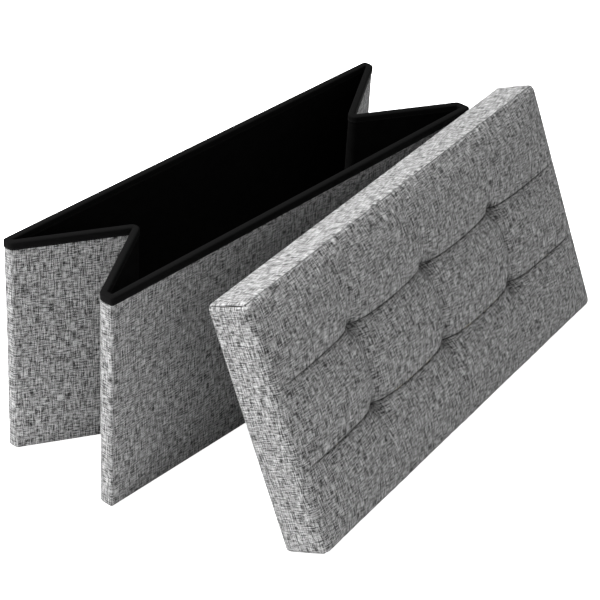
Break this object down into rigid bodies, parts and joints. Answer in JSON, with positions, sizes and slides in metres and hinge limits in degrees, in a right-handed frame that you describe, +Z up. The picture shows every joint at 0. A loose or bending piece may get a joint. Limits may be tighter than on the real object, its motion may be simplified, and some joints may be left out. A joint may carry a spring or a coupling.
{
  "type": "folding storage ottoman",
  "caption": "Long fabric storage ottoman whose box of hinged panels folds flat, with a loose floor board and a padded, tufted cap lid leaning on it.",
  "frame": {"origin": "on the floor under the middle of the front wall, which is upright", "axes": "+X along the front wall, +Y from the front wall to the back wall, +Z up"},
  "size_m": [0.8546, 0.4895, 0.3557],
  "materials": {
    "board": "raw fibreboard",
    "linen": "grey slubbed linen weave",
    "lining": "black felted lining",
    "binding": "black woven edge tape",
    "ribbon": "black woven tape",
    "foam": "open-cell foam",
    "tie_cord": "twisted cord"
  },
  "bodies": {
    "front_wall": {"front_wall_board": "board", "front_wall_cover": "linen", "front_wall_lining": "lining", "front_wall_binding": "binding", "front_wall_hinge_tapes": "lining"},
    "left_front": {"left_front_board": "board", "left_front_cover": "linen", "left_front_lining": "lining", "left_front_binding": "binding"},
    "left_back": {"left_back_board": "board", "left_back_cover": "linen", "left_back_lining": "lining", "left_back_binding": "binding"},
    "back_wall": {"back_wall_board": "board", "back_wall_cover": "linen", "back_wall_lining": "lining", "back_wall_binding": "binding", "back_wall_hinge_tapes": "lining"},
    "right_front": {"right_front_board": "board", "right_front_cover": "linen", "right_front_lining": "lining", "right_front_binding": "binding"},
    "right_back": {"right_back_board": "board", "right_back_cover": "linen", "right_back_lining": "lining", "right_back_binding": "binding"},
    "floor_panel": {"floor_board": "board", "floor_lining": "lining", "floor_pull_ribbon": "ribbon"},
    "lid": {"lid_board": "board", "lid_rail_lower": "board", "lid_rail_upper": "board", "lid_rail_left": "board", "lid_rail_right": "board", "lid_lining": "lining", "lid_foam": "foam", "lid_tuft_ties": "tie_cord", "lid_top_cover": "linen", "lid_band_lower": "linen", "lid_band_upper": "linen"}
  },
  "joints": [
    {"name": "fold", "type": "hinge", "parent": "front_wall", "child": "left_front", "pos_m": [-0.3623, 0.01285, 0], "axis": [0, 0, -1], "range_deg": [-60, 27]},
    {"name": "left_crease", "type": "hinge", "parent": "left_front", "child": "left_back", "pos_m": [-0.23128, 0.09981, 0], "axis": [0, 0, 1], "range_deg": [-120, 54]},
    {"name": "back_left_corner", "type": "hinge", "parent": "left_back", "child": "back_wall", "pos_m": [-0.3623, 0.18677, 0], "axis": [0, 0, -1], "range_deg": [-60, 27]},
    {"name": "front_right_corner", "type": "hinge", "parent": "front_wall", "child": "right_front", "pos_m": [0.3623, 0.01285, 0], "axis": [0, 0, 1], "range_deg": [-60, 27]},
    {"name": "right_crease", "type": "hinge", "parent": "right_front", "child": "right_back", "pos_m": [0.23128, 0.09981, 0], "axis": [0, 0, -1], "range_deg": [-120, 54]},
    {"name": "floor_board_lift", "type": "slide", "parent": "front_wall", "child": "floor_panel", "axis": [0, 0, 1], "range_m": [0, 0.345]},
    {"name": "lid_lift", "type": "slide", "parent": "front_wall", "child": "lid", "axis": [0, 0, 1], "range_m": [0, 0.4]}
  ],
  "couplings": [
    {"joint": "left_crease", "follows": "fold", "ratio": 2},
    {"joint": "back_left_corner", "follows": "fold", "ratio": 1},
    {"joint": "front_right_corner", "follows": "fold", "ratio": 1},
    {"joint": "right_crease", "follows": "fold", "ratio": 2}
  ]
}
